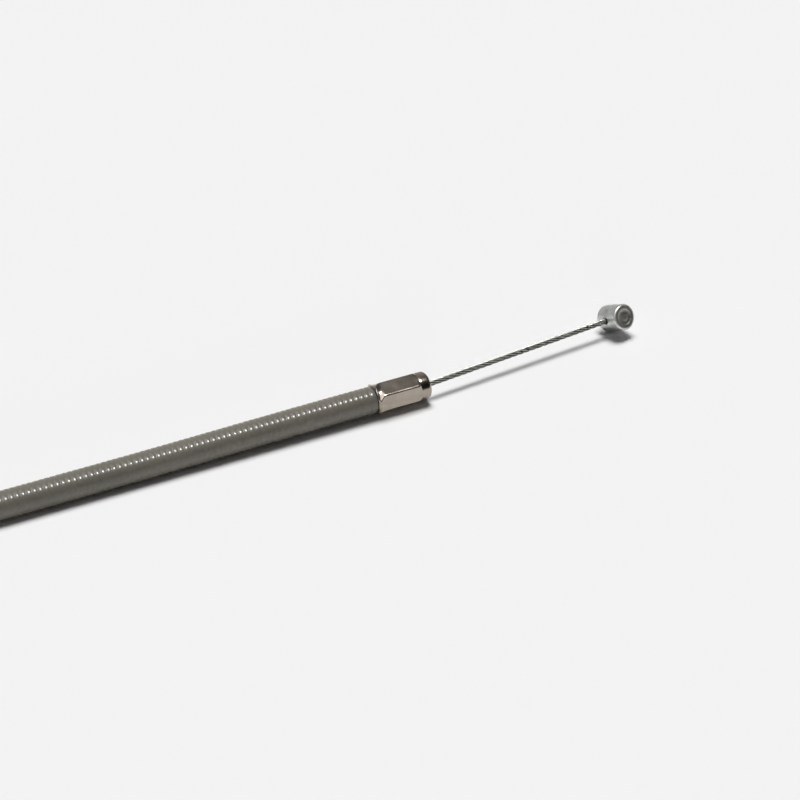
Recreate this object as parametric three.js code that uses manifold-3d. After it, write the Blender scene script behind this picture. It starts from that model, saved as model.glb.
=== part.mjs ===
// Front brake cable: an inner wire rope that slides in a lined, wound and
// jacketed casing, with a hex-crimped ferrule on each casing end, a barrel
// nipple on the lever end of the wire and a crimped cap on the wheel end.
// The long middle of the casing is put away as a tied round coil.
// Millimetres, +Z up, standing on z = 0. +X points to the lever end.

import * as THREE from 'three';
import { mergeVertices } from 'three/addons/utils/BufferGeometryUtils.js';
import Module from 'manifold-3d';

// ---- driving dimensions, mm -------------------------------------------------
const GAP = 0.3;               // clearance between neighbouring pieces
const CASING_R = 3.5;          // jacket outside
const JACKET_BORE_R = 2.6;
const CONDUIT_R = 2.3;         // wound steel conduit outside
const CONDUIT_BORE_R = 1.6;
const LINER_R = 1.3;           // plastic liner outside
const LINER_BORE_R = 1.05;
const WIRE_R = 0.75;           // stranded inner wire
const SQUEEZED_R = 2.9;        // jacket where the ferrule grips it

const FERRULE_LEN = 15.5;
const FERRULE_R = 3.75;        // round lip and nose
const FERRULE_BORE_R = 3.2;
const FERRULE_SEAT = 13.9;     // depth of the cup
const FERRULE_HOLE_R = 1.15;
const NOSE_R = 1.0;            // rounding of the nose
const HEX_APOTHEM = 3.6;       // half the size across the crimped flats
const HEX_CORNER_R = 0.9;      // rounding of the ridges
const HEX_FROM = 1.5;
const HEX_TO = 11.6;
const HEX_TURN = 37.8;         // angle of one ridge above the near side, degrees

const AXIS_Z = 4.0;            // height of both ferrules' axes
const LAID_Z = 3.5;            // height of the casing's axis where it lies

const SEEN_RUN = 100.5;        // straight casing behind the lever ferrule
const RUN_TO_COIL = 62.0;      // more straight casing, to the coil's tangent
const COIL_MEAN_R = 35.0;      // middle of the turns
const LANE_OUT = 3.55;         // outermost turns' centres from the middle of the bundle
const COIL_HEIGHT = 14.2;
const COIL_IN_R = COIL_MEAN_R - LANE_OUT - CASING_R - 0.6;
const COIL_OUT_R = COIL_MEAN_R + LANE_OUT + CASING_R + 0.3;

const WIRE_OUT = 61.3;         // lever ferrule's nose to the nipple's middle
const WIRE_YAW_0 = 5.1;        // the wire's lean sideways at the ferrule, degrees
const WIRE_YAW_1 = 5.5;        // and at the nipple

const NIPPLE_R = 3.5;
const NIPPLE_LEN = 7.6;
const NIPPLE_EDGE = 0.55;
const NIPPLE_TILT = 25.5;      // near end raised, degrees
const NIPPLE_YAW = 10.5;       // its axis from the near side towards +X, degrees
const NIPPLE_DISH_R = 2.25;    // shallow dish in each end
const NIPPLE_DISH_DEEP = 0.22;

const WHEEL_STUB = 12.0;       // casing between the coil and the wheel ferrule
const WHEEL_WIRE_OUT = 34.0;   // wheel ferrule's nose to the wire's cap
const CAP_R = 1.45;
const CAP_LEN = 9.0;

// ---- helpers ----------------------------------------------------------------
const wasm = await Module();
wasm.setup();

function toSolid(geometry) {
  const g = geometry.clone();
  for (const name of ['normal', 'uv', 'uv1', 'color']) g.deleteAttribute(name);
  const m = mergeVertices(g, 1e-4);
  const p = m.getAttribute('position');
  const vertProperties = new Float32Array(p.array);
  const triVerts = new Uint32Array(m.index.array);
  return new wasm.Manifold(new wasm.Mesh({ numProp: 3, vertProperties, triVerts }));
}

function toGeometry(solid) {
  const m = solid.getMesh();
  const g = new THREE.BufferGeometry();
  const p = new Float32Array(m.numVert * 3);
  for (let i = 0; i < m.numVert; i++)
    for (let k = 0; k < 3; k++) p[3 * i + k] = m.vertProperties[m.numProp * i + k];
  g.setAttribute('position', new THREE.BufferAttribute(p, 3));
  g.setIndex(new THREE.BufferAttribute(new Uint32Array(m.triVerts), 1));
  g.computeVertexNormals();
  return g;
}

// A turned form about the X axis from [x, radius] points, running from the
// low-x end outside to the high-x end and back along the bore.
function turned(points, sides) {
  const g = new THREE.LatheGeometry(points.map(([x, r]) => new THREE.Vector2(r, x)), sides);
  g.rotateZ(-Math.PI / 2);     // the lathe's +Y becomes +X
  return g;
}

function ringSection(outer, inner, sides) {
  const s = new THREE.Shape();
  for (let i = 0; i < sides; i++) {
    const a = (2 * Math.PI * i) / sides;
    const x = outer * Math.cos(a), y = outer * Math.sin(a);
    if (i) s.lineTo(x, y); else s.moveTo(x, y);
  }
  s.closePath();
  if (inner > 0) {
    const h = new THREE.Path();
    for (let i = 0; i < sides; i++) {
      const a = (-2 * Math.PI * i) / sides;
      const x = inner * Math.cos(a), y = inner * Math.sin(a);
      if (i) h.lineTo(x, y); else h.moveTo(x, y);
    }
    h.closePath();
    s.holes.push(h);
  }
  return s;
}

function tube(path, steps, outer, inner, sides) {
  return new THREE.ExtrudeGeometry(ringSection(outer, inner, sides),
    { steps, bevelEnabled: false, extrudePath: path });
}

class Route extends THREE.Curve {
  constructor(place) { super(); this.place = place; }
  getPoint(t, target = new THREE.Vector3()) { return target.copy(this.place(t)); }
}

const smooth = (t) => { const u = Math.min(1, Math.max(0, t)); return u * u * (3 - 2 * u); };
const deg = THREE.MathUtils.degToRad;

// ---- places in a working frame: x = 0 at the lever ferrule's rear rim --------
const coilX = -(SEEN_RUN + RUN_TO_COIL);
const coilY = COIL_MEAN_R + LANE_OUT;
const wheelY = coilY + COIL_MEAN_R + LANE_OUT;
const coilExit = Math.sqrt((COIL_OUT_R + GAP) ** 2 - (COIL_MEAN_R + LANE_OUT - CASING_R) ** 2);
const wheelRear = coilX + coilExit + WHEEL_STUB;        // wheel ferrule's rear rim

// The casing's axis rises from where it lies to the ferrule's axis.
const laidZ = (back) => AXIS_Z + (LAID_Z - AXIS_Z) * smooth((back - 6) / 70);

// the wire outside the lever ferrule
function wirePlace(s) {
  const n = 40;
  let x = FERRULE_LEN, y = 0;
  for (let i = 0; i < n; i++) {
    const m = (s * (i + 0.5)) / n;
    const yaw = deg((WIRE_YAW_0 + (WIRE_YAW_1 - WIRE_YAW_0) * (m / WIRE_OUT)) * smooth(m / 3));
    x += (Math.cos(yaw) * s) / n;
    y += (Math.sin(yaw) * s) / n;
  }
  return new THREE.Vector3(x, y, AXIS_Z + NIPPLE_RISE * (s / WIRE_OUT));
}
const tilt = deg(NIPPLE_TILT);
const NIPPLE_Z = (NIPPLE_R - NIPPLE_EDGE) * Math.cos(tilt)
  + (NIPPLE_LEN / 2 - NIPPLE_EDGE) * Math.sin(tilt) + NIPPLE_EDGE + 0.02;
const NIPPLE_RISE = NIPPLE_Z - AXIS_Z;
const nipplePlace = wirePlace(WIRE_OUT);
const nippleAxis = new THREE.Vector3(Math.sin(deg(NIPPLE_YAW)) * Math.cos(tilt),
  -Math.cos(deg(NIPPLE_YAW)) * Math.cos(tilt), Math.sin(tilt));

// ---- the coil: the outer form of the tied turns ------------------------------
function coilProfile(grow) {
  const a = COIL_IN_R - grow, b = COIL_OUT_R + grow, lo = 0 - grow, hi = COIL_HEIGHT + grow;
  const p = [[a, lo + 2], [a + 2, lo], [b - 2, lo], [b, lo + 2], [b, 6.2 + grow],
    [b - 4.6, hi], [a + 4.6, hi], [a, 6.2 + grow]];
  return [...p, p[0]].map(([r, z]) => new THREE.Vector2(r, z));
}
const coilGeometry = new THREE.LatheGeometry(coilProfile(0), 72);
coilGeometry.rotateX(Math.PI / 2);                       // the lathe's axis becomes +Z
const coilGrown = new THREE.LatheGeometry(coilProfile(GAP), 72);
coilGrown.rotateX(Math.PI / 2);
const coilTool = toSolid(coilGrown.translate(coilX, coilY, 0));
// The tie passes under the turns in a shallow neck of the bundle.
const TIE_W = 3.6, TIE_T = 1.1;
function tieBox(grow, deep) {
  const w = COIL_OUT_R - COIL_IN_R;
  const s = new THREE.Shape();
  const x0 = -w / 2 - grow, x1 = w / 2 + grow, y0 = 0.06 - grow, y1 = COIL_HEIGHT + TIE_T + GAP + grow;
  s.moveTo(x0 + 2, y0); s.lineTo(x1 - 2, y0); s.lineTo(x1, y0 + 2); s.lineTo(x1, y1 - 6);
  s.lineTo(x1 - 4.2, y1); s.lineTo(x0 + 4.2, y1); s.lineTo(x0, y1 - 6); s.lineTo(x0, y0 + 2);
  s.closePath();
  const k = TIE_T + deep;
  const h = new THREE.Path();
  h.moveTo(x0 + 2.4 + 0.4 * k, y0 + k); h.lineTo(x0 + k, y0 + 2.4 + 0.4 * k); h.lineTo(x0 + k, y1 - 6.3 - 0.3 * k);
  h.lineTo(x0 + 4.5 + 0.3 * k, y1 - k); h.lineTo(x1 - 4.5 - 0.3 * k, y1 - k); h.lineTo(x1 - k, y1 - 6.3 - 0.3 * k);
  h.lineTo(x1 - k, y0 + 2.4 + 0.4 * k); h.lineTo(x1 - 2.4 - 0.4 * k, y0 + k);
  h.closePath();
  s.holes.push(h);
  const wide = TIE_W + 2 * (grow > 0 ? grow : 0);
  const g = new THREE.ExtrudeGeometry(s, { depth: wide, bevelEnabled: false });
  g.translate(0, 0, -wide / 2);
  g.rotateX(Math.PI / 2);                                // section's Y becomes +Z
  g.translate(-COIL_MEAN_R + (COIL_IN_R + COIL_OUT_R - 2 * COIL_MEAN_R) / -2, 0, 0);
  return g;
}
const coilSolid = toSolid(coilGeometry).subtract(toSolid(tieBox(GAP, 2 * GAP)));
const coil = toGeometry(coilSolid);

// ---- the straight casing runs ------------------------------------------------
const leverRoute = (from, to) => new Route((t) => {
  const x = from + (to - from) * t;
  return new THREE.Vector3(x, 0, laidZ(-x));
});
const wheelRoute = (from, to) => new Route((t) => {
  const x = from + (to - from) * t;
  return new THREE.Vector3(x, wheelY, laidZ(Math.max(0, (wheelRear - x) * 2.2)));
});
const SEAT_X = FERRULE_SEAT - GAP;

function layer(route, x0, x1, steps, outer, inner) {
  return toSolid(tube(route(x0, x1), steps, outer, inner, 12)).subtract(coilTool);
}
function jacket(route, x0, rear, steps) {
  const wide = toSolid(tube(route(x0, rear - GAP), steps, CASING_R, 0, 12));
  const neck = toSolid(tube(route(rear - 1.5, rear + SEAT_X), 1, SQUEEZED_R, 0, 12));
  const bore = toSolid(tube(route(x0 - 5, rear + SEAT_X + 3), steps, JACKET_BORE_R, 0, 12));
  return wide.add(neck).subtract(bore).subtract(coilTool);
}

// ---- the ferrule ---------------------------------------------------------------
function hexSection() {
  const s = new THREE.Shape();
  const cx = (HEX_APOTHEM - HEX_CORNER_R) / Math.cos(Math.PI / 6);
  let first = true;
  for (let i = 0; i < 6; i++) {
    const a = deg(60 * i);
    for (const d of [-30, -10, 10, 30]) {
      const x = cx * Math.cos(a) + HEX_CORNER_R * Math.cos(a + deg(d));
      const y = cx * Math.sin(a) + HEX_CORNER_R * Math.sin(a + deg(d));
      if (first) { s.moveTo(x, y); first = false; } else s.lineTo(x, y);
    }
  }
  s.closePath();
  return s;
}
function ferruleGeometry(turn) {
  const arc = [0, 30, 60, 90].map((d) => [FERRULE_LEN - NOSE_R + NOSE_R * Math.sin(deg(d)),
    FERRULE_R - NOSE_R + NOSE_R * Math.cos(deg(d))]);
  const waist = HEX_APOTHEM - 0.02;
  const round = turned([[0.15, FERRULE_BORE_R + 0.12], [0, FERRULE_R - 0.2], [0.2, FERRULE_R], [HEX_FROM - 0.3, FERRULE_R],
    [HEX_FROM + 0.1, waist], [HEX_TO - 0.1, waist], [HEX_TO + 0.8, FERRULE_R], ...arc,
    [FERRULE_LEN, 0], [0.15, 0], [0.15, FERRULE_BORE_R + 0.12]], 36);
  const cornerR = (HEX_APOTHEM - HEX_CORNER_R) / Math.cos(Math.PI / 6) + HEX_CORNER_R;
  const over = cornerR - waist + 0.05;
  const bar = new THREE.ExtrudeGeometry(hexSection(), { depth: HEX_TO - HEX_FROM + 1.6, bevelEnabled: false });
  bar.rotateY(Math.PI / 2);
  bar.rotateX(turn);
  bar.translate(HEX_FROM - 0.6, 0, 0);
  const dies = turned([[HEX_FROM - 0.5, 0], [HEX_FROM - 0.5, waist - 0.05], [HEX_FROM - 0.5 + over * 1.2, cornerR + 0.05],
    [HEX_TO + 0.9 - over * 1.2, cornerR + 0.05], [HEX_TO + 0.9, waist - 0.05], [HEX_TO + 0.9, 0]], 36);
  const bore = turned([[-1, 0], [-1, FERRULE_BORE_R + 0.3], [0.3, FERRULE_BORE_R], [FERRULE_SEAT, FERRULE_BORE_R],
    [FERRULE_SEAT, FERRULE_HOLE_R], [FERRULE_LEN - 0.25, FERRULE_HOLE_R], [FERRULE_LEN + 1, FERRULE_HOLE_R + 1.25],
    [FERRULE_LEN + 1, 0]], 20);
  return toGeometry(toSolid(round).add(toSolid(bar).intersect(toSolid(dies))).subtract(toSolid(bore)));
}

// ---- the inner wire --------------------------------------------------------------
const leverWireFrom = coilX + coilExit + 4;
const leverWireLen = { hidden: FERRULE_LEN - leverWireFrom, out: WIRE_OUT + 1.2 };
const leverWire = new THREE.CatmullRomCurve3([
  ...[0, 0.25, 0.5, 0.62, 0.74, 0.86, 0.94, 0.985].map((t) => {
    const x = leverWireFrom + leverWireLen.hidden * t;
    return new THREE.Vector3(x, 0, laidZ(-x));
  }),
  ...[0, 3, 8, 16, 26, 36, 46, WIRE_OUT - 4, WIRE_OUT + 1.2].map((s) => wirePlace(s)),
], false, 'centripetal');
const wheelWire = new Route((t) => new THREE.Vector3(
  wheelRear + 0.4 + (FERRULE_LEN + WHEEL_WIRE_OUT - 0.4) * t, wheelY, AXIS_Z));

// ---- the nipple --------------------------------------------------------------------
function nippleGeometry() {
  const h = NIPPLE_LEN / 2, e = NIPPLE_EDGE, d = NIPPLE_DISH_DEEP;
  const edge = (sign) => [0, 30, 60, 90].map((a) => [sign * (h - e + e * Math.sin(deg(a))),
    NIPPLE_R - e + e * Math.cos(deg(a))]);
  const body = turned([[-h + d, 0], [-h + d, NIPPLE_DISH_R - 0.35], [-h, NIPPLE_DISH_R],
    ...edge(-1).reverse(), ...edge(1), [h, NIPPLE_DISH_R], [h - d, NIPPLE_DISH_R - 0.35], [h - d, 0]], 32);
  const m = new THREE.Matrix4().makeRotationFromQuaternion(
    new THREE.Quaternion().setFromUnitVectors(new THREE.Vector3(1, 0, 0), nippleAxis));
  m.setPosition(nipplePlace);
  body.applyMatrix4(m);
  // the cast-in wire's seat
  const back = wirePlace(WIRE_OUT - 8), deepEnd = wirePlace(WIRE_OUT + 1.5);
  const seat = new THREE.ExtrudeGeometry(ringSection(WIRE_R + GAP + 0.05, 0, 12),
    { steps: 1, bevelEnabled: false, extrudePath: new THREE.LineCurve3(back, deepEnd) });
  return toGeometry(toSolid(body).subtract(toSolid(seat)));
}

// ---- materials -----------------------------------------------------------------------
const grey = { color: 0x6f6c66, roughness: 0.5, metalness: 0.0 };
const steel = { color: 0x9c978f, roughness: 0.35, metalness: 1.0 };
const liner = { color: 0xd8d4c8, roughness: 0.45, metalness: 0.0 };
const nickel = { color: 0xb9b2a8, roughness: 0.2, metalness: 1.0 };
const zinc = { color: 0xa9aaa6, roughness: 0.45, metalness: 1.0 };
const strand = { color: 0x80827a, roughness: 0.4, metalness: 1.0 };
const black = { color: 0x1d1d1d, roughness: 0.55, metalness: 0.0 };

const cable = new THREE.Group();
function addPiece(name, geometry, look, x = 0, y = 0, z = 0) {
  const mesh = new THREE.Mesh(geometry, new THREE.MeshStandardMaterial(look));
  mesh.name = name;
  mesh.position.set(x, y, z);
  cable.add(mesh);
  return mesh;
}

addPiece('casing_coil', coil, grey, coilX, coilY, 0);
addPiece('coil_tie', tieBox(0, 0), black, coilX, coilY, 0);

addPiece('jacket_lever_run', toGeometry(jacket(leverRoute, coilX, 0, 9)), grey);
addPiece('conduit_lever_run', toGeometry(layer(leverRoute, coilX, SEAT_X, 9, CONDUIT_R, CONDUIT_BORE_R)), steel);
addPiece('liner_lever_run', toGeometry(layer(leverRoute, coilX, SEAT_X, 9, LINER_R, LINER_BORE_R)), liner);
addPiece('ferrule_lever_end', ferruleGeometry(deg(90 - HEX_TURN)), nickel, 0, 0, AXIS_Z);
addPiece('inner_wire_lever_end', tube(leverWire, 40, WIRE_R, 0, 8), strand);
addPiece('barrel_nipple', nippleGeometry(), zinc);

addPiece('jacket_wheel_run', toGeometry(jacket(wheelRoute, coilX, wheelRear, 3)), grey);
addPiece('conduit_wheel_run', toGeometry(layer(wheelRoute, coilX, wheelRear + SEAT_X, 3, CONDUIT_R, CONDUIT_BORE_R)), steel);
addPiece('liner_wheel_run', toGeometry(layer(wheelRoute, coilX, wheelRear + SEAT_X, 3, LINER_R, LINER_BORE_R)), liner);
addPiece('ferrule_wheel_end', ferruleGeometry(deg(90 - HEX_TURN)), nickel, wheelRear, wheelY, AXIS_Z);
addPiece('inner_wire_wheel_end', tube(wheelWire, 2, WIRE_R, 0, 8), strand);

const c0 = WHEEL_WIRE_OUT - CAP_LEN + 1.0;
const capBody = turned([[0, WIRE_R + GAP], [0, CAP_R - 0.15], [0.15, CAP_R], [2.4, CAP_R], [2.9, CAP_R - 0.12], [5.6, CAP_R - 0.12],
  [6.1, CAP_R], [CAP_LEN - 0.6, CAP_R], [CAP_LEN, CAP_R - 0.6], [CAP_LEN, 0], [CAP_LEN - 1 + GAP, 0],
  [CAP_LEN - 1 + GAP, WIRE_R + GAP], [0, WIRE_R + GAP]], 20);
addPiece('wire_end_cap', toGeometry(toSolid(capBody)), { color: 0xc4c6c8, roughness: 0.35, metalness: 1.0 },
  wheelRear + FERRULE_LEN + c0, wheelY, AXIS_Z);

// ---- the row's own frame: middle of the footprint, on the surface it lies on ----
const box = new THREE.Box3();
cable.updateMatrixWorld(true);
cable.traverse((o) => { if (o.isMesh) box.expandByObject(o, true); });
const middle = box.getCenter(new THREE.Vector3());
for (const mesh of cable.children) mesh.position.add(new THREE.Vector3(-middle.x, -middle.y, -box.min.z));

export default cable;
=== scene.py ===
import bpy
import math
import bmesh
import numpy as np
from mathutils import Matrix, Vector


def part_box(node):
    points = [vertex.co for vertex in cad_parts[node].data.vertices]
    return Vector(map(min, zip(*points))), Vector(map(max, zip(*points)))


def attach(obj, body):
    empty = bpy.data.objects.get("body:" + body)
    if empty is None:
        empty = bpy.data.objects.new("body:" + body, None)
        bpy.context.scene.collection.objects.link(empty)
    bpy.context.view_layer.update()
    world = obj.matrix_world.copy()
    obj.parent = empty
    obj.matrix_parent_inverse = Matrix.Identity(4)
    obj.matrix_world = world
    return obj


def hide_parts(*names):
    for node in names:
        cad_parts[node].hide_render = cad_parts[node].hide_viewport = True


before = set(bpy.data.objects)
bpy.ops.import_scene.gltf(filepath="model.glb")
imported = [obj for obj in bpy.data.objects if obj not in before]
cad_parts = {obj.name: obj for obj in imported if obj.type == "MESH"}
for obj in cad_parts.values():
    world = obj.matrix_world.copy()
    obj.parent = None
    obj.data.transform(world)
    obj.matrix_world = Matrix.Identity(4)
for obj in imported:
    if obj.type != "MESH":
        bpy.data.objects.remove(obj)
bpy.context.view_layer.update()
scene = bpy.context.scene
MM = 0.001


# ---- places: x = 0 at the lever ferrule's rear rim, y = 0 on its axis ----------
lo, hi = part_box("ferrule_lever_end")
OFF = np.array([lo[0] / MM, (lo[1] + hi[1]) / 2 / MM, 0.0])
AXIS_Z, LAID_Z = 4.0, 3.5
SEEN_RUN, RUN_TO_COIL, COIL_R, LANE, LANE_OUT = 100.5, 62.0, 35.0, 4.1, 3.55
FERRULE_LEN, FERRULE_R, FERRULE_BORE, FERRULE_SEAT = 15.5, 3.75, 3.2, 13.9
WIRE_OUT, WIRE_YAW_0, WIRE_YAW_1 = 61.3, 5.1, 5.5
NIPPLE_R, NIPPLE_LEN, NIPPLE_EDGE, NIPPLE_TILT, NIPPLE_YAW = 3.5, 7.6, 0.55, 25.5, 10.5
WHEEL_STUB, WHEEL_WIRE_OUT, CAP_LEN, CAP_R = 12.0, 34.0, 9.0, 1.45
coil_x = -(SEEN_RUN + RUN_TO_COIL)
coil_y = COIL_R + LANE_OUT
wheel_y = 2 * coil_y
coil_out = COIL_R + LANE_OUT + 3.5 + 0.3 + 0.3
wheel_rear = coil_x + math.sqrt(coil_out**2 - (COIL_R + LANE_OUT - 3.5) ** 2) + WHEEL_STUB


def smooth(t):
    u = np.clip(t, 0, 1)
    return u * u * (3 - 2 * u)


def laid_z(back):
    return AXIS_Z + (LAID_Z - AXIS_Z) * smooth((back - 6) / 70)


def unit(v):
    return v / np.linalg.norm(v, axis=-1, keepdims=True)


tilt, yaw = math.radians(NIPPLE_TILT), math.radians(NIPPLE_YAW)
nipple_z = (NIPPLE_R - NIPPLE_EDGE) * math.cos(tilt) + (NIPPLE_LEN / 2 - NIPPLE_EDGE) * math.sin(tilt) + NIPPLE_EDGE + 0.02
nipple_axis = np.array([math.sin(yaw) * math.cos(tilt), -math.cos(yaw) * math.cos(tilt), math.sin(tilt)])


def wire_place(s):
    n = 40
    m = s * (np.arange(n) + 0.5) / n
    a = np.radians((WIRE_YAW_0 + (WIRE_YAW_1 - WIRE_YAW_0) * m / WIRE_OUT) * smooth(m / 3))
    return [FERRULE_LEN + (np.cos(a) * s / n).sum(), (np.sin(a) * s / n).sum(), AXIS_Z + (nipple_z - AXIS_Z) * s / WIRE_OUT]


nipple_at = np.array(wire_place(WIRE_OUT)) + OFF


# ---- the camera ------------------------------------------------------------------
FOCAL_PX, PSI, ELEV = 2600.0, 28.6233, 31.0647
CAM_AT = Vector((-202.314, -537.642, 344.171)) * MM
psi, elev = math.radians(PSI), math.radians(ELEV)
right = Vector((math.cos(psi), -math.sin(psi), 0))
ahead = Vector((math.sin(psi) * math.cos(elev), math.cos(psi) * math.cos(elev), -math.sin(elev)))
upward = right.cross(ahead)
cam_data = bpy.data.cameras.new("camera")
cam_data.sensor_fit = "HORIZONTAL"
cam_data.sensor_width = 36.0
cam_data.lens = FOCAL_PX / 800.0 * 36.0
cam_data.clip_start, cam_data.clip_end = 0.01, 50.0
cam = bpy.data.objects.new("camera", cam_data)
scene.collection.objects.link(cam)
cam.matrix_world = Matrix.Translation(CAM_AT) @ Matrix((right, upward, -ahead)).transposed().to_4x4()
scene.camera = cam


# ---- mesh helpers ------------------------------------------------------------------
def make(name, verts, faces, sharp=40.0):
    me = bpy.data.meshes.new(name)
    me.from_pydata((np.asarray(verts, float) * MM).tolist(), [], [list(map(int, f)) for f in faces])
    me.validate()
    me.shade_smooth()
    me.set_sharp_from_angle(angle=math.radians(sharp))
    o = bpy.data.objects.new(name, me)
    scene.collection.objects.link(o)
    return o


def quads(n, m, wrap, base=0, flip=False):
    """Faces between n rings of m points; wrap joins the last ring to the first."""
    i = np.arange(n if wrap else n - 1)[:, None]
    j = np.arange(m)[None, :]
    i2, j2 = (i + 1) % n, (j + 1) % m
    a, b, c, d = (base + i * m + j, base + i2 * m + j, base + i2 * m + j2, base + i * m + j2)
    f = np.stack([a + 0 * j, b + 0 * j, c + 0 * i, d + 0 * i], axis=-1).reshape(-1, 4)
    return f[:, ::-1] if flip else f


def frames(p):
    t = unit(np.gradient(p, axis=0))
    side = unit(np.cross(t, [0.0, 0.0, 1.0]))
    return t, side, np.cross(side, t)


def rings(p, side, up, radius, m):
    a = 2 * np.pi * np.arange(m) / m
    r = np.broadcast_to(np.reshape(np.zeros(len(p)) + radius, (len(p), 1)), (len(p), m))
    return p[:, None] + r[..., None] * (np.cos(a)[None, :, None] * side[:, None] + np.sin(a)[None, :, None] * up[:, None])


def along(p):
    return np.concatenate([[0], np.cumsum(np.linalg.norm(np.diff(p, axis=0), axis=1))])


def at(p, s, stations):
    return np.stack([np.interp(stations, s, p[:, k]) for k in range(3)], axis=1)


# ---- the casing: one free cable, wound up past the picture's edge ------------------
def casing_route():
    inside = FERRULE_SEAT - 0.5
    x = np.arange(inside, coil_x, -0.25)
    lever = np.stack([x, 0 * x, laid_z(-x)], axis=1)
    n, turns = 440, []
    for half in range(5):
        u = np.arange(n) / n
        turn = np.radians(120 * smooth(u))
        bundle_z = LAID_Z + LANE * np.sin(np.radians(30) + turn)
        if half in (0, 2, 4):
            beta = np.radians({0: -30, 2: -150, 4: 90}[half]) - turn
            r = COIL_R + LANE * np.cos(beta)
            lift = 1.2 * np.exp(-(((u - 0.5) * np.pi * COIL_R / 14) ** 2))
            z = bundle_z + LANE * np.sin(beta) + lift
        elif half == 1:
            r, z = COIL_R - LANE_OUT + 0 * u, LAID_Z + 0 * u
        else:
            gamma = np.radians(60 * (1 - smooth(u / 0.4) * smooth((1 - u) / 0.4)))
            r, z = COIL_R - LANE_OUT + 2 * LANE_OUT * np.cos(gamma), LAID_Z + 2 * LANE_OUT * np.sin(gamma)
        theta = np.radians(-90 - 180 * (half + u))
        turns.append(np.stack([coil_x + r * np.cos(theta), coil_y + r * np.sin(theta), z], axis=1))
    x = np.arange(coil_x, wheel_rear + inside, 0.25)
    wheel = np.stack([x, wheel_y + 0 * x, laid_z(np.maximum(0, (wheel_rear - x) * 2.2))], axis=1)
    return np.concatenate([lever, *turns, wheel]) + OFF + [0, 0, 0.04]


RIB = 1.47
route = casing_route()
route_s = along(route)
total = route_s[-1]
grip = FERRULE_SEAT - 0.5                         # length inside each ferrule
first_rib = grip + 0.35
ribs_seen = int((SEEN_RUN + 6) / RIB)
ribs_after = int((total - grip - 0.35 - first_rib) / RIB) - ribs_seen


def rib_rings(first, count, places):
    return (first_rib + RIB * (first + np.arange(count)[:, None] + np.array(places)[None, :])).ravel()


st = np.concatenate([
    np.arange(0, grip - 0.8, 1.6), grip + np.array([-0.5, -0.1, 0.05, 0.2, 0.3]),
    rib_rings(0, ribs_seen, (0.015, 0.13, 0.255, 0.38, 0.5, 0.62, 0.745, 0.87, 0.985)),
    rib_rings(ribs_seen, ribs_after, (0.04, 0.34, 0.66, 0.96)),
    total - grip + np.array([-0.3, -0.2, -0.05, 0.1, 0.5]), np.arange(total - grip + 1.6, total, 1.6), [total]])
P = at(route, route_s, st)
T, S, U = frames(P)
w = np.abs(((st - first_rib) / RIB) % 1.0 - 0.5) * 2.0   # 0 on a crest, 1 in a groove
shape = 1 - np.clip(w, 0, 1) ** 2
in_ferrule = 1 - smooth((np.minimum(st, total - st) - (grip - 0.05)) / 0.3)
RIB_DEEP = 0.10
wander = 0.006 * np.sin(st * 0.9) * np.sin(st * 0.37 + 1)
radius = (3.535 - RIB_DEEP * (1 - shape) + wander * 0.5) * (1 - in_ferrule) + 2.9 * in_ferrule
SIDES = 32
outer = rings(P, S, U, radius, SIDES)
inner_st = np.linspace(0, total, 300)[::-1]
Pi = at(route, route_s, inner_st)
Ti, Si, Ui = frames(Pi[::-1])
inner = rings(Pi, Si[::-1], Ui[::-1], 2.6, SIDES)
V = np.concatenate([outer, inner])
casing = make("casing", V.reshape(-1, 3), quads(len(V), SIDES, True))
print("casing length mm", round(total, 1), "tris", 2 * len(V) * SIDES)


# ---- the inner wire: a rope of strands -----------------------------------------------
def rope(name, centre, step):
    s0 = along(centre)
    s = np.linspace(0, s0[-1], int(s0[-1] / step) + 1)
    p = at(centre, s0, s)
    t, side, up = frames(p)
    lay, lay_in, strand_r, wire_at, wire_r = 12.0, 5.2, 0.505, 0.15, 0.088
    verts, faces, m, base = [], [], 6, 0
    b = 2 * np.pi * np.arange(m) / m
    for k in range(6):
        a = (2 * np.pi * (k / 6 + s / lay))[:, None]
        rad, tan = np.cos(a) * up + np.sin(a) * side, -np.sin(a) * up + np.cos(a) * side
        loose = 1 + 0.012 * np.sin(2 * np.pi * s / 31 + 2.1 * k)[:, None]
        c = p + strand_r * loose * rad
        for j in range(6):
            q = (2 * np.pi * (j / 6 - s / lay_in + 0.13 * k))[:, None]
            wc = c + wire_at * (np.cos(q) * rad + np.sin(q) * tan)
            ring = wc[:, None] + wire_r * (np.cos(b)[None, :, None] * rad[:, None] + np.sin(b)[None, :, None] * tan[:, None])
            verts.append(ring.reshape(-1, 3))
            faces.append(quads(len(s), m, False, base, flip=True))
            base += len(s) * m
    core = rings(p[::4], side[::4], up[::4], 0.36, 8)
    verts.append(core.reshape(-1, 3))
    faces.append(quads(len(core), 8, False, base))
    caps = []
    for q in range(36):
        first = q * len(s) * m
        last = first + (len(s) - 1) * m
        caps.append(list(range(first, first + m)))
        caps.append(list(range(last, last + m))[::-1])
    caps.append(list(range(base, base + 8)))
    caps.append(list(range(base + (len(core) - 1) * 8, base + len(core) * 8))[::-1])
    everything = [f for g in faces for f in g.tolist()] + caps
    every = np.concatenate(verts)
    o = make(name, every, everything, sharp=60)
    # painted shade: the strands' inner sides, near the rope's middle, get low values that darken the crevices between
    # strands
    far = np.concatenate([np.linalg.norm((g.reshape(len(s), m, 3) - p[:, None]).reshape(-1, 3), axis=1) for g in verts[:-1]] + [np.zeros(len(verts[-1]))])
    crevice_shade = o.data.attributes.new('crevice_shade', 'FLOAT', 'POINT')
    crevice_shade.data.foreach_set('value', np.clip((far - 0.47) / 0.25, 0, 1).astype(np.float32))
    return o, p


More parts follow.
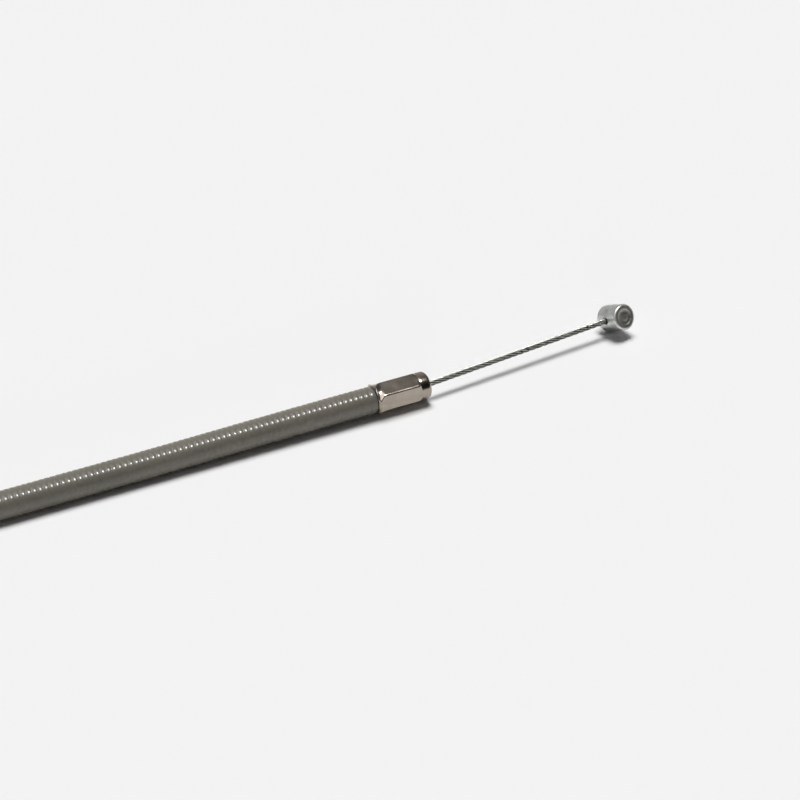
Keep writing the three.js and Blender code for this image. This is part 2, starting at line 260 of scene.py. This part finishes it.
back = 29.0
x = np.arange(FERRULE_LEN - back, FERRULE_LEN, 0.5)
lever_line = np.concatenate([np.stack([x, 0 * x, laid_z(-x)], axis=1),
                             np.array([wire_place(s) for s in np.arange(0, WIRE_OUT + 0.6, 0.5)])]) + OFF
wire_lever, lever_path = rope("inner_wire_lever", lever_line, 0.45)
x = np.arange(wheel_rear + 0.4, wheel_rear + FERRULE_LEN + WHEEL_WIRE_OUT - 0.2, 0.5)
wheel_line = np.stack([x, wheel_y + 0 * x, AXIS_Z + 0 * x], axis=1) + OFF
wire_wheel, wheel_path = rope("inner_wire_wheel", wheel_line, 0.6)


# ---- the ferrules ----------------------------------------------------------------------
def hex_radius(phi, turn, apothem, corner):
    a = (phi - turn + math.radians(30)) % math.radians(60) - math.radians(30)
    cx = (apothem - corner) / math.cos(math.radians(30))
    edge = math.atan2(corner * 0.5, cx + corner * math.cos(math.radians(30)))
    flat = apothem / np.cos(math.radians(30) - np.abs(a))
    arc = cx * np.cos(a) + np.sqrt(np.maximum(corner**2 - (cx * np.sin(a)) ** 2, 0))
    return np.where(np.abs(a) < edge, arc, flat)


def ferrule(name, rear, y):
    m = 144
    phi = 2 * np.pi * np.arange(m) / m                  # from the near side upwards
    rows = [(0.15, FERRULE_BORE + 0.12, 0), (0.02, FERRULE_BORE + 0.2, 0), (0.0, FERRULE_R - 0.26, 0), (0.05, FERRULE_R - 0.12, 0),
            (0.16, FERRULE_R - 0.03, 0), (0.3, FERRULE_R, 0.6)]
    for x in np.concatenate([np.linspace(0.4, 1.5, 12), np.linspace(1.65, 3.2, 8), np.linspace(3.5, 10.9, 12), np.linspace(11.1, 13.0, 16)]):
        r = FERRULE_R
        w = float(smooth((x + 0.9) / 1.6) * smooth((12.75 - x) / 1.1))
        rows.append((x, r, w))
    for d in np.linspace(0, 90, 10):
        rows.append((FERRULE_LEN - 1.0 + math.sin(math.radians(d)), FERRULE_R - 1.0 + math.cos(math.radians(d)), 0))
    rows += [(FERRULE_LEN, 2.2, 0), (FERRULE_LEN, 1.55, 0), (FERRULE_LEN - 0.06, 1.42, 0), (FERRULE_LEN - 0.3, 1.2, 0), (FERRULE_LEN - 0.4, 1.15, 0),
             (FERRULE_SEAT, 1.15, 0), (FERRULE_SEAT, FERRULE_BORE - 0.1, 0), (FERRULE_SEAT - 0.1, FERRULE_BORE, 0), (8.0, FERRULE_BORE, 0), (1.0, FERRULE_BORE, 0)]
    v = np.zeros((len(rows), m, 3))
    for i, (x, r, w) in enumerate(rows):
        twist = math.radians(-20 * (1 - float(smooth(x / 2.0))))
        hexed = hex_radius(phi, math.radians(35.5) + twist, 3.68, 0.5)
        rr = (1 - w) * r + w * hexed
        if w > 0:
            rr = rr - 0.03 * math.exp(-(((x - 0.62) / 0.18) ** 2)) - 0.05 * math.exp(-(((x - 12.4) / 0.3) ** 2))
        v[i, :, 0] = x + rear
        v[i, :, 1] = y - rr * np.cos(phi)
        v[i, :, 2] = AXIS_Z + rr * np.sin(phi)
    # ring angle runs from -Y to +Z, so along +X the faces turn inside out
    return make(name, (v + OFF).reshape(-1, 3), quads(len(rows), m, True, flip=False), sharp=50)


ferrule_lever = ferrule("ferrule_lever", 0.0, 0.0)
ferrule_wheel = ferrule("ferrule_wheel", wheel_rear, wheel_y)


# ---- the barrel nipple -------------------------------------------------------------------
def turned(name, origin, axis, prof, m, sharp=40, dent=None):
    """A closed form turned about an axis from (distance along it, radius) rows."""
    axis = unit(np.asarray(axis, float))
    e1 = unit(np.cross(axis, [0.0, 0.0, 1.0]))
    e2 = np.cross(e1, axis)
    a = 2 * np.pi * np.arange(m) / m
    v = []
    for h, r in prof:
        rr = r + 0 * a if dent is None else dent(h, r, a)
        v.append(origin + h * axis + rr[:, None] * (np.cos(a)[:, None] * e1 + np.sin(a)[:, None] * e2))
    v = np.array(v)
    f = quads(len(prof), m, False).tolist() + [list(range(m)), list(range((len(prof) - 1) * m, len(prof) * m))[::-1]]
    return make(name, v.reshape(-1, 3), f, sharp=sharp)


def nipple_profile():
    h, e = NIPPLE_LEN / 2, NIPPLE_EDGE
    face = [(h - 0.19, 0.35), (h - 0.19, 0.8), (h - 0.215, 0.95), (h - 0.24, 1.1), (h - 0.235, 1.5), (h - 0.21, 1.8), (h - 0.15, 2.0), (h - 0.06, 2.16),
            (h - 0.01, 2.3), (h, 2.45), (h, 2.8)]
    edge = [(h - e + e * math.sin(math.radians(d)), NIPPLE_R - e + e * math.cos(math.radians(d))) for d in np.linspace(80, 0, 9)]
    half = face + edge + [(h - e - 0.3, NIPPLE_R), (2.0, NIPPLE_R + 0.02), (1.0, NIPPLE_R + 0.035), (0.2, NIPPLE_R + 0.04)]
    return [(-d, r) for d, r in half] + [(d, r) for d, r in half[::-1]]


nipple = turned("barrel_nipple_cast", nipple_at, nipple_axis, nipple_profile(), 96, sharp=35)
hole_from, hole_to = np.array(wire_place(WIRE_OUT - 8)) + OFF, np.array(wire_place(WIRE_OUT - 1.3)) + OFF
cut_axis = unit(hole_to - hole_from)
deep = float(np.linalg.norm(hole_to - hole_from))
surf = deep + 1.3 - NIPPLE_R
cutter = turned("seat_cutter", hole_from, cut_axis, [(0, 1.5), (surf - 0.3, 1.2), (surf + 0.15, 0.98), (surf + 0.5, 0.93), (surf + 1.1, 0.9)], 40)
mod = nipple.modifiers.new("seat", "BOOLEAN")
mod.operation, mod.solver, mod.object = "DIFFERENCE", "EXACT", cutter
dg = bpy.context.evaluated_depsgraph_get()
cut = bpy.data.meshes.new_from_object(nipple.evaluated_get(dg))
nipple.modifiers.clear()
nipple.data = cut
rel = np.array([v.co[:] for v in cut.vertices]) / MM - nipple_at
h_ = np.abs(rel @ nipple_axis)
r_ = np.linalg.norm(rel - (rel @ nipple_axis)[:, None] * nipple_axis, axis=1)
# painted shade: marks the barrel's end faces, which are coloured darker
end_face_shade = cut.attributes.new('end_face_shade', 'FLOAT', 'POINT')
end_face_shade.data.foreach_set('value', np.where((h_ > 3.4) & (r_ < 2.95), 1.0, 0.0).astype(np.float32))
cut.shade_smooth()
cut.set_sharp_from_angle(angle=math.radians(35))
bpy.data.objects.remove(cutter)


# ---- the wire's end cap --------------------------------------------------------------------
def cap_dent(h, r, a):
    k = math.exp(-(((h - 3.4) / 0.75) ** 2)) + math.exp(-(((h - 5.6) / 0.75) ** 2))
    return r - 0.14 * k * np.clip(np.cos(4 * a) * 0.5 + 0.5, 0, 1) * (1 if r > 1.2 else 0)


rows = [(1.6, 1.02), (0.15, 1.02), (0.0, 1.12), (0.0, 1.32), (0.06, 1.41), (0.18, 1.45)]
rows += [(h, 1.45) for h in np.linspace(0.5, 7.6, 36)]
rows += [(7.6 + 1.4 * math.sin(math.radians(d)), 0.1 + 1.35 * math.cos(math.radians(d))) for d in np.linspace(10, 85, 9)]
cap_at = np.array([wheel_rear + FERRULE_LEN + WHEEL_WIRE_OUT - CAP_LEN + 1.0, wheel_y, AXIS_Z]) + OFF
cap = turned("wire_cap", cap_at, [1, 0, 0], rows, 48, sharp=45, dent=cap_dent)


# ---- the tie round the coil -------------------------------------------------------------------
def tie_mesh():
    lift = 1.2
    cs = [(COIL_R, LAID_Z + lift), (COIL_R + LANE_OUT, LAID_Z + 2 * LANE_OUT * math.sin(math.radians(60)) + lift),
          (COIL_R - LANE_OUT, LAID_Z + 2 * LANE_OUT * math.sin(math.radians(60)) + lift)]
    # (distance from the coil's middle, height), anticlockwise with the distance to the right
    order = [0, 1, 2]
    mid, loop = 3.5 + 0.13 + 0.48, []
    for i in range(3):
        c, n, b = np.array(cs[order[i]]), np.array(cs[order[(i + 1) % 3]]), np.array(cs[order[i - 1]])
        d_in, d_out = unit(c - b), unit(n - c)
        a0, a1 = math.atan2(-d_in[0], d_in[1]), math.atan2(-d_out[0], d_out[1])
        while a1 < a0:
            a1 += 2 * math.pi
        for a in np.linspace(a0, a1, 15):
            loop.append(c + mid * np.array([math.cos(a), math.sin(a)]))
        end = loop[-1]
        start = n + mid * np.array([math.cos(a1), math.sin(a1)])
        for k in np.linspace(0, 1, 7)[1:-1]:
            loop.append(end + (start - end) * k)
    loop = np.array(loop)
    t = unit(np.roll(loop, -1, 0) - np.roll(loop, 1, 0))
    out = np.stack([t[:, 1], -t[:, 0]], axis=1)
    wide, thick, e = 1.8, 0.48, 0.16
    section = [(wide, -thick + e), (wide, thick - e), (wide - e, thick), (0.9, thick), (0.75, thick - 0.1), (-0.75, thick - 0.1), (-0.9, thick), (-wide + e, thick),
               (-wide, thick - e), (-wide, -thick + e), (-wide + e, -thick), (wide - e, -thick)]
    v = np.zeros((len(loop), len(section), 3))
    for j, (y, o) in enumerate(section):
        q = loop + o * out
        v[:, j, 0], v[:, j, 1], v[:, j, 2] = coil_x - q[:, 0], coil_y + y, q[:, 1]
    return (v + OFF), loop, t, out


tv, tie_loop, tie_t, tie_out = tie_mesh()
tie = make("coil_tie_strap", tv.reshape(-1, 3), quads(tv.shape[0], tv.shape[1], True), sharp=35)
bm = bmesh.new()
bm.from_mesh(tie.data)
bmesh.ops.recalc_face_normals(bm, faces=bm.faces)
# the tie's head and the cut tail, on the flank that faces the coil's middle
i = int(np.argmin(np.abs(tie_loop[:, 0] - (COIL_R - 3.4)) + np.abs(tie_loop[:, 1] - 6.2)))
c2, t2, o2 = tie_loop[i], tie_t[i], tie_out[i]


def block(centre, half, turn_t, turn_o, bevel):
    made = bmesh.ops.create_cube(bm, size=2.0)
    vs = made["verts"]
    for q in vs:
        a, b, c = q.co
        flat = centre + a * half[0] * turn_t + c * half[2] * turn_o
        q.co = Vector(((coil_x - flat[0] + OFF[0]) * MM, (coil_y + b * half[1] + OFF[1]) * MM, (flat[1] + OFF[2]) * MM))
    edges = list({e for q in vs for e in q.link_edges})
    bmesh.ops.bevel(bm, geom=edges, offset=bevel * MM, segments=3, profile=0.5, affect="EDGES")


block(c2 + o2 * 1.75, (2.1, 2.55, 1.25), t2, o2, 0.35)
block(c2 + o2 * 1.55 + t2 * 2.6, (0.9, 1.7, 0.42), t2, o2, 0.12)
bmesh.ops.recalc_face_normals(bm, faces=bm.faces)
bm.to_mesh(tie.data)
bm.free()
tie.data.shade_smooth()
tie.data.set_sharp_from_angle(angle=math.radians(35))


# ---- what rides on what ---------------------------------------------------------------------------
for o, body, slot, nodes in [
    (casing, "casing", "jacket", ("casing_coil", "jacket_lever_run", "jacket_wheel_run")),
    (tie, "casing", "tie", ("coil_tie",)),
    (ferrule_lever, "casing", "ferrule", ("ferrule_lever_end",)),
    (ferrule_wheel, "casing", "ferrule", ("ferrule_wheel_end",)),
    (wire_lever, "lever_wire", "wire", ("inner_wire_lever_end",)),
    (nipple, "lever_wire", "nipple", ("barrel_nipple",)),
    (wire_wheel, "wheel_wire", "wire", ("inner_wire_wheel_end",)),
    (cap, "wheel_wire", "cap", ("wire_end_cap",)),
]:
    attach(o, body)
    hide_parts(*nodes)

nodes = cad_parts


# ---- materials ----------------------------------------------------------------------------------------
class Look:
    def __init__(self, name):
        self.m = bpy.data.materials.new(name)
        self.m.use_nodes = True
        self.t = self.m.node_tree
        self.t.nodes.clear()
        self.out = self.t.nodes.new("ShaderNodeOutputMaterial")
        self.p = self.t.nodes.new("ShaderNodeBsdfPrincipled")
        self.t.links.new(self.p.outputs[0], self.out.inputs["Surface"])
        self.co = self.t.nodes.new("ShaderNodeTexCoord").outputs["Object"]
        self.heights = []

    def node(self, kind, **sets):
        n = self.t.nodes.new(kind)
        for k, v in sets.items():
            setattr(n, k, v)
        return n

    def link(self, a, b):
        self.t.links.new(a, b)

    def spread(self, scale):
        n = self.node("ShaderNodeMapping")
        self.link(self.co, n.inputs["Vector"])
        n.inputs["Scale"].default_value = scale
        return n.outputs[0]

    def noise(self, scale, detail=3.0, rough=0.55, stretch=None):
        n = self.node("ShaderNodeTexNoise")
        n.inputs["Scale"].default_value = scale
        n.inputs["Detail"].default_value = detail
        n.inputs["Roughness"].default_value = rough
        self.link(self.spread(stretch) if stretch else self.co, n.inputs["Vector"])
        return n.outputs["Fac"]

    def attribute(self, name):
        return self.node('ShaderNodeAttribute', attribute_type='GEOMETRY', attribute_name=name).outputs['Fac']

    def ramp(self, fac, *stops):
        n = self.node("ShaderNodeValToRGB")
        e = n.color_ramp.elements
        while len(e) < len(stops):
            e.new(0.5)
        for s, (at_, colour) in zip(e, stops):
            s.position = at_
            s.color = (*colour, 1.0) if hasattr(colour, "__len__") else (colour, colour, colour, 1.0)
        self.link(fac, n.inputs[0])
        return n.outputs[0]

    def mix(self, a, b, fac, blend="MIX"):
        n = self.node("ShaderNodeMix", data_type="RGBA", blend_type=blend)
        for socket, v in ((n.inputs[0], fac), (n.inputs[6], a), (n.inputs[7], b)):
            if isinstance(v, (int, float)):
                socket.default_value = v
            elif isinstance(v, tuple):
                socket.default_value = (*v, 1.0)
            else:
                self.link(v, socket)
        return n.outputs[2]

    def to_range(self, fac, lo_, hi_, a=0.3, b=0.7):
        n = self.node("ShaderNodeMapRange")
        for k, v in (("From Min", a), ("From Max", b), ("To Min", lo_), ("To Max", hi_)):
            n.inputs[k].default_value = v
        self.link(fac, n.inputs["Value"])
        return n.outputs[0]

    def bump(self, height, distance_mm, strength=1.0):
        n = self.node("ShaderNodeBump")
        n.inputs["Distance"].default_value = distance_mm * MM
        n.inputs["Strength"].default_value = strength
        self.link(height, n.inputs["Height"])
        if self.heights:
            self.link(self.heights[-1], n.inputs["Normal"])
        self.heights.append(n.outputs[0])
        self.link(n.outputs[0], self.p.inputs["Normal"])

    def set(self, **values):
        for k, v in values.items():
            s = self.p.inputs[k.replace("_", " ")]
            if isinstance(v, (int, float)):
                s.default_value = v
            elif isinstance(v, tuple):
                s.default_value = (*v, 1.0)
            else:
                self.link(v, s)
        return self


def lin(r, g, b):
    return tuple(((c / 255) / 12.92 if c <= 10.3 else ((c / 255 + 0.055) / 1.055) ** 2.4) for c in (r, g, b))


# ribbed jacket: satin grey plastic with an olive cast
jk = Look("jacket")
broad, fine, dust = jk.noise(55, 4), jk.noise(900, 4, 0.6), jk.noise(5200, 2)
col = jk.mix(jk.ramp(broad, (0.32, lin(110, 107, 97)), (0.7, lin(121, 116, 106))), lin(98, 96, 91), jk.to_range(fine, 0.0, 0.45, 0.45, 0.75))
jk.set(Base_Color=col, Metallic=0.0, Roughness=jk.to_range(fine, 0.215, 0.25), Specular_IOR_Level=0.5)
jk.bump(dust, 0.003, 0.2)
jk.bump(fine, 0.003, 0.2)

# nickel plating with a little brown bloom and fine handling marks
nk = Look("nickel")
bloom, marks, grain = nk.noise(160, 4, 0.6), nk.noise(700, 3, stretch=(0.25, 1, 1)), nk.noise(4200, 2)
col = nk.mix(nk.ramp(bloom, (0.3, (0.335, 0.285, 0.24)), (0.72, (0.43, 0.385, 0.335))), (0.24, 0.20, 0.165), nk.to_range(marks, 0.0, 0.35, 0.5, 0.75))
nk.set(Base_Color=col, Metallic=1.0, Roughness=nk.to_range(bloom, 0.12, 0.19))
nk.bump(grain, 0.004, 0.35)
nk.bump(marks, 0.015, 0.35)

# galvanised strands, with painted shade darkening the crevices between them
wr = Look("strands")
patch, streak = wr.noise(700, 3), wr.noise(2600, 2, stretch=(0.2, 1, 1))
col = wr.mix(wr.ramp(patch, (0.3, (0.42, 0.435, 0.395)), (0.72, (0.66, 0.67, 0.62))), (0.22, 0.23, 0.20), wr.to_range(streak, 0.0, 0.5, 0.45, 0.7))
# painted shade: near-black mixed into the crevices between the strands
col = wr.mix((0.03, 0.032, 0.027), col, wr.ramp(wr.attribute('crevice_shade'), (0.38, 0.0), (0.92, 1.0)))
wr.set(Base_Color=col, Metallic=1.0, Roughness=wr.to_range(patch, 0.24, 0.4))
wr.bump(streak, 0.006, 0.4)

# cast zinc, mottled, with fine pits; the end faces carry painted shade
zn = Look("zinc")
mottle, spots, pit = zn.noise(420, 5, 0.65), zn.noise(1500, 3), zn.noise(3600, 2)
col = zn.mix(zn.ramp(mottle, (0.34, (0.42, 0.43, 0.415)), (0.64, (0.74, 0.755, 0.735))), (0.33, 0.335, 0.32), zn.to_range(spots, 0.0, 0.6, 0.5, 0.72))
# painted shade: the end faces are mixed towards a dark brown-grey
col = zn.mix(col, (0.27, 0.255, 0.225), zn.to_range(zn.attribute('end_face_shade'), 0.0, 0.8, 0.0, 1.0))
zn.set(Base_Color=col, Metallic=1.0, Roughness=zn.to_range(mottle, 0.32, 0.46))
zn.bump(mottle, 0.05, 0.4)
zn.bump(pit, 0.02, 0.35)

# drawn aluminium
al = Look("aluminium")
rub, dents = al.noise(1500, 3, stretch=(0.15, 1, 1)), al.noise(500, 3)
al.set(Base_Color=al.ramp(rub, (0.3, (0.62, 0.63, 0.64)), (0.7, (0.80, 0.805, 0.81))), Metallic=1.0, Roughness=al.to_range(dents, 0.25, 0.38))
al.bump(rub, 0.01, 0.4)

# black nylon
ny = Look("nylon")
skin, cloud = ny.noise(2400, 3), ny.noise(300, 3)
ny.set(Base_Color=ny.ramp(cloud, (0.3, (0.008, 0.008, 0.009)), (0.7, (0.022, 0.022, 0.023))), Roughness=ny.to_range(skin, 0.38, 0.52), Specular_IOR_Level=0.5)
ny.bump(skin, 0.012, 0.3)

# flat steel wire, wound close
st_ = Look("wound_steel")
n = st_.node("ShaderNodeTexWave", wave_type="BANDS", bands_direction="X")
n.inputs["Scale"].default_value = 215.0
st_.link(st_.co, n.inputs["Vector"])
st_.set(Base_Color=st_.ramp(st_.noise(800, 3), (0.3, (0.35, 0.34, 0.32)), (0.7, (0.52, 0.50, 0.47))), Metallic=1.0, Roughness=0.35)
st_.bump(n.outputs["Fac"], 0.15, 0.8)

# slippery liner
ln = Look("liner_plastic")
ln.set(Base_Color=ln.ramp(ln.noise(400, 3), (0.3, (0.62, 0.59, 0.50)), (0.7, (0.74, 0.71, 0.63))), Roughness=0.42)
ln.bump(ln.noise(1800, 2), 0.01, 0.3)


def dress(o, look):
    o.data.materials.clear()
    o.data.materials.append(look.m)


for o, look in [(casing, jk), (tie, ny), (ferrule_lever, nk), (ferrule_wheel, nk), (wire_lever, wr), (wire_wheel, wr), (nipple, zn), (cap, al)]:
    dress(o, look)
for name, look in [("conduit_lever_run", st_), ("conduit_wheel_run", st_), ("liner_lever_run", ln), ("liner_wheel_run", ln)]:
    for s in nodes[name].material_slots:
        s.link = "DATA"
        s.material = look.m


# ---- the floor ---------------------------------------------------------------------------------------------
floor_mesh = bpy.data.meshes.new("floor")
floor_mesh.from_pydata([(-3, -3, 0), (3, -3, 0), (3, 3, 0), (-3, 3, 0)], [], [(0, 1, 2, 3)])
floor = bpy.data.objects.new("floor", floor_mesh)
scene.collection.objects.link(floor)
fl = Look("floor")
fl.set(Base_Color=(0.84, 0.84, 0.84), Roughness=0.9, Specular_IOR_Level=0.1)
dress(floor, fl)


# ---- light ---------------------------------------------------------------------------------------------------
def sun(name, direction, strength, angle, colour=(1, 1, 1)):
    d = bpy.data.lights.new(name, "SUN")
    d.energy, d.angle, d.color = strength, math.radians(angle), colour
    o = bpy.data.objects.new(name, d)
    scene.collection.objects.link(o)
    o.rotation_mode = "QUATERNION"
    o.rotation_quaternion = Vector(direction).to_track_quat("Z", "Y")
    return o


def toward(away_deg, sideways_deg=0.0):
    """The direction of a light: tilted from overhead away from the camera, and to its right."""
    flat = Vector((math.sin(psi), math.cos(psi), 0))
    return Vector((0, 0, 1)) + math.tan(math.radians(away_deg)) * flat + math.tan(math.radians(sideways_deg)) * right


key = sun("key", toward(15.5), 3.16, 31)
key.visible_glossy = False
fill = sun("fill", toward(30), 0.30, 130)
fill.visible_glossy = False
low = sun("low", -Vector((math.sin(psi), math.cos(psi), -0.105)), 0.33, 8)
low.visible_glossy = False
spark = sun("spark", (0.27, -0.20, 0.93), 1.9, 8)
spark.visible_diffuse = False

world = bpy.data.worlds.new("room")
scene.world = world
world.use_nodes = True
wt = world.node_tree
wt.nodes.clear()
wo = wt.nodes.new("ShaderNodeOutputWorld")
bg = wt.nodes.new("ShaderNodeBackground")
wt.links.new(bg.outputs[0], wo.inputs[0])
tc = wt.nodes.new("ShaderNodeTexCoord")
dot = wt.nodes.new("ShaderNodeVectorMath")
dot.operation = "DOT_PRODUCT"
dot.inputs[1].default_value = (-math.sin(psi), -math.cos(psi), 0)
sep = wt.nodes.new("ShaderNodeSeparateXYZ")
arc = wt.nodes.new("ShaderNodeMath")
arc.operation = "ARCTAN2"
half_turn = wt.nodes.new("ShaderNodeMath")
half_turn.operation = "DIVIDE"
half_turn.inputs[1].default_value = math.pi
rampw = wt.nodes.new("ShaderNodeValToRGB")
wt.links.new(tc.outputs["Generated"], dot.inputs[0])
wt.links.new(tc.outputs["Generated"], sep.inputs[0])
wt.links.new(sep.outputs["Z"], arc.inputs[0])
wt.links.new(dot.outputs["Value"], arc.inputs[1])
wt.links.new(arc.outputs[0], half_turn.inputs[0])
wt.links.new(half_turn.outputs[0], rampw.inputs[0])
# the room is darker to the right
side_dot = wt.nodes.new("ShaderNodeVectorMath")
side_dot.operation = "DOT_PRODUCT"
side_dot.inputs[1].default_value = right
wt.links.new(tc.outputs["Generated"], side_dot.inputs[0])
darker = wt.nodes.new("ShaderNodeMapRange")
for k_, v_ in (("From Min", 0.0), ("From Max", 0.55), ("To Min", 1.0), ("To Max", 0.3)):
    darker.inputs[k_].default_value = v_
wt.links.new(side_dot.outputs["Value"], darker.inputs["Value"])
wt.links.new(darker.outputs[0], bg.inputs["Strength"])
# a broad soft source over the object, a little to the left
box_dir = Vector((-0.24, -0.12, 0.97)).normalized()
box_dot = wt.nodes.new("ShaderNodeVectorMath")
box_dot.operation = "DOT_PRODUCT"
box_dot.inputs[1].default_value = box_dir
wt.links.new(tc.outputs["Generated"], box_dot.inputs[0])
box_on = wt.nodes.new("ShaderNodeMapRange")
box_on.interpolation_type = "SMOOTHSTEP"
for k_, v_ in (("From Min", math.cos(math.radians(34))), ("From Max", math.cos(math.radians(24))), ("To Min", 0.0), ("To Max", 1.7)):
    box_on.inputs[k_].default_value = v_
wt.links.new(box_dot.outputs["Value"], box_on.inputs["Value"])
box_add = wt.nodes.new("ShaderNodeMix")
box_add.data_type, box_add.blend_type = "RGBA", "ADD"
box_add.inputs[0].default_value = 1.0
wt.links.new(rampw.outputs[0], box_add.inputs[6])
wt.links.new(box_on.outputs[0], box_add.inputs[7])
wt.links.new(box_add.outputs[2], bg.inputs["Color"])
world.cycles_visibility.diffuse = False
# round from the near horizon (0) over the zenith (90) to the far horizon (180 degrees)
stops = [(0, 0.80), (11, 0.75), (17, 0.06), (60, 0.06), (80, 0.20), (95, 0.32), (116, 0.31), (128, 0.42), (155, 0.45), (180, 0.60)]
e = rampw.color_ramp.elements
while len(e) < len(stops):
    e.new(0.5)
for s, (a, v) in zip(e, stops):
    s.position, s.color = a / 180, (v, v, v * 0.985, 1)

scene.view_settings.view_transform = "Standard"
scene.view_settings.look = "None"

for o in (ferrule_lever, ferrule_wheel):                 # the hex corner rests on the floor
    for v in o.data.vertices:
        v.co.z = max(v.co.z, 0.02 * MM - o.matrix_world.translation.z)
